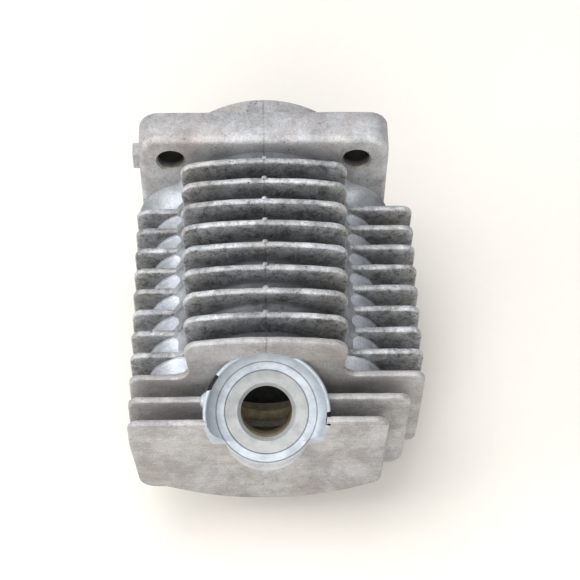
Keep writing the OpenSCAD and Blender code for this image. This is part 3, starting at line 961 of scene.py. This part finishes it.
# %% Boss
hole = [(plug_hole_r, -1.15), (7.25, -0.3), (10.25, -0.3), (10.4, -0.05)]
bowl_wall = quarter(10.4, 4.2, 4.25, -88, 0, 14) + [(14.66, 4.9)] + quarter(15.13, 5.0, 0.47, 180, 0, 8)
boss_shape = [(plug_hole_r, -16)] + hole + bowl_wall + [(15.6, -1), (9.5, -1), (9.5, -16)]
boss = spun("plug_seat_boss", boss_shape, 144, seat_centre, plug_axis)
nose_shape = [(plug_hole_r, -13)] + hole + [(12.3, -0.05), (12.65, -0.3), (16.2, -13)]
nose = spun("nose", nose_shape, 144, seat_centre, plug_axis)
plate_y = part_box("fin_11")[0].y / MM
front = block("front", (-50, plate_y - 100, -50), (50, plate_y, 50))
apply(boss, "BOOLEAN", object=front, operation="DIFFERENCE", solver="EXACT")
apply(nose, "BOOLEAN", object=front, operation="INTERSECT", solver="EXACT")
join(boss, nose)
bpy.data.objects.remove(front)
print("boss faces before the pits:", len(boss.data.polygons))

# %% [markdown]
# The mill broke through the bowl's rim in places. A few small balls taken away
# make those ragged pits, and one more, joined on, is the lump on the left. A
# face's height over the seat and distance from the axis then say which cut it
# belongs to, and so its finish.

# %% Pits in the rim
def from_seat(point):
    """Height over the seat and distance from the plug axis, in millimetres."""
    reach = point - seat_centre
    height = reach.dot(plug_axis)
    return height / MM, (reach - plug_axis * height).length / MM


def ball(angle, radius, height, size):
    """A ball at an angle round the plug axis, for a pit or a lump in the rim."""
    side = Vector((1, 0, 0))
    up_slope = Vector((0, math.sin(plug_lean), math.cos(plug_lean)))
    direction = side * math.cos(math.radians(angle)) + up_slope * math.sin(math.radians(angle))
    centre = seat_centre + (direction * radius + plug_axis * height) * MM
    bpy.ops.mesh.primitive_ico_sphere_add(subdivisions=3, radius=size * MM, location=centre)
    piece = bpy.context.object
    bpy.ops.object.transform_apply(location=True, rotation=True, scale=True)
    return piece


def boss_finish(face):
    """The material slot of a face of the boss."""
    height, radius = from_seat(face.center)
    if height < -1.1 and radius < 6.6:
        return 4 if height < -6 else 1
    steep = face.normal.dot(plug_axis) < 0.75
    if radius > 15 and steep or height < -0.4 and radius > 8:
        return 2
    return 3 if radius > 10.3 else 0


pit_places = [(148, 15.2, 5.6, 1.7), (154, 15.8, 5.0, 1.3), (-2, 15.3, 5.2, 0.9), (-7, 15.2, 5.0, 1.3)]
pits = [ball(*place) for place in pit_places]
# The pits' cut faces take the near-black painted shade of open_pit.
for pit in pits:
    pit.data.materials.append(open_pit)
lump = ball(168, 14.3, 2.4, 2.4)
cut_with(lump, seat_cutter)
join(boss, lump)
for material in (milled_seat, machined_bore, cast_lobe, milled_bowl, burnt_film):
    boss.data.materials.append(material)
for face in boss.data.polygons:
    face.material_index = boss_finish(face)
cut_with(boss, dome_cutter, *pits)
for fin in fins[8:]:
    cut_with(fin, *pits)
for pit in pits:
    bpy.data.objects.remove(pit)
finish(boss, "milled_seat", "plug_boss")

# %% [markdown]
# ## Bore, skirt and exhaust port
# The bore lining runs on as a skirt into the crankcase, and is spun as one tube.
# The piston never reaches the last few millimetres, where burnt oil leaves a pale
# brown band. The exhaust block has flat faces that the CAD model already gives,
# so it is a clean copy of that node.

# %% Bore and port
bore_r = 22
skirt_r = 24.9
swept_to = -57.0  # as far as the piston rings come
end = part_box("bore_lining")[1].y / MM
lining_shape = [(bore_r, deck_y), (23.2, deck_y), (23.2, -3), (25.2, -3), (25.2, 0), (skirt_r, 0),
                (skirt_r, end - 1), (skirt_r - 1, end), (bore_r, end), (bore_r, swept_to)]
lining = spun("bore_and_skirt", lining_shape, 144)
for material in (cast_skin, machined_bore, burnt_film):
    lining.data.materials.append(material)
# Inside, the swept bore is painted dark as shade, and the unswept band is burnt film.
for face in lining.data.polygons:
    inside = math.hypot(face.center.x, face.center.z) < (bore_r + 0.1) * MM
    unswept = face.center.y < swept_to * MM
    face.material_index = 2 if inside and unswept else 1 if inside else 0
cut_with(lining, window_cutter, exhaust_cutter)
finish(lining, "machined_bore", "bore_lining")
port = copy_of("exhaust_port", "exhaust_port_block")
port.data.materials.append(cast_skin)
finish(port, "cast_skin", "exhaust_port")

for cutter in cutters:
    bpy.data.objects.remove(cutter)
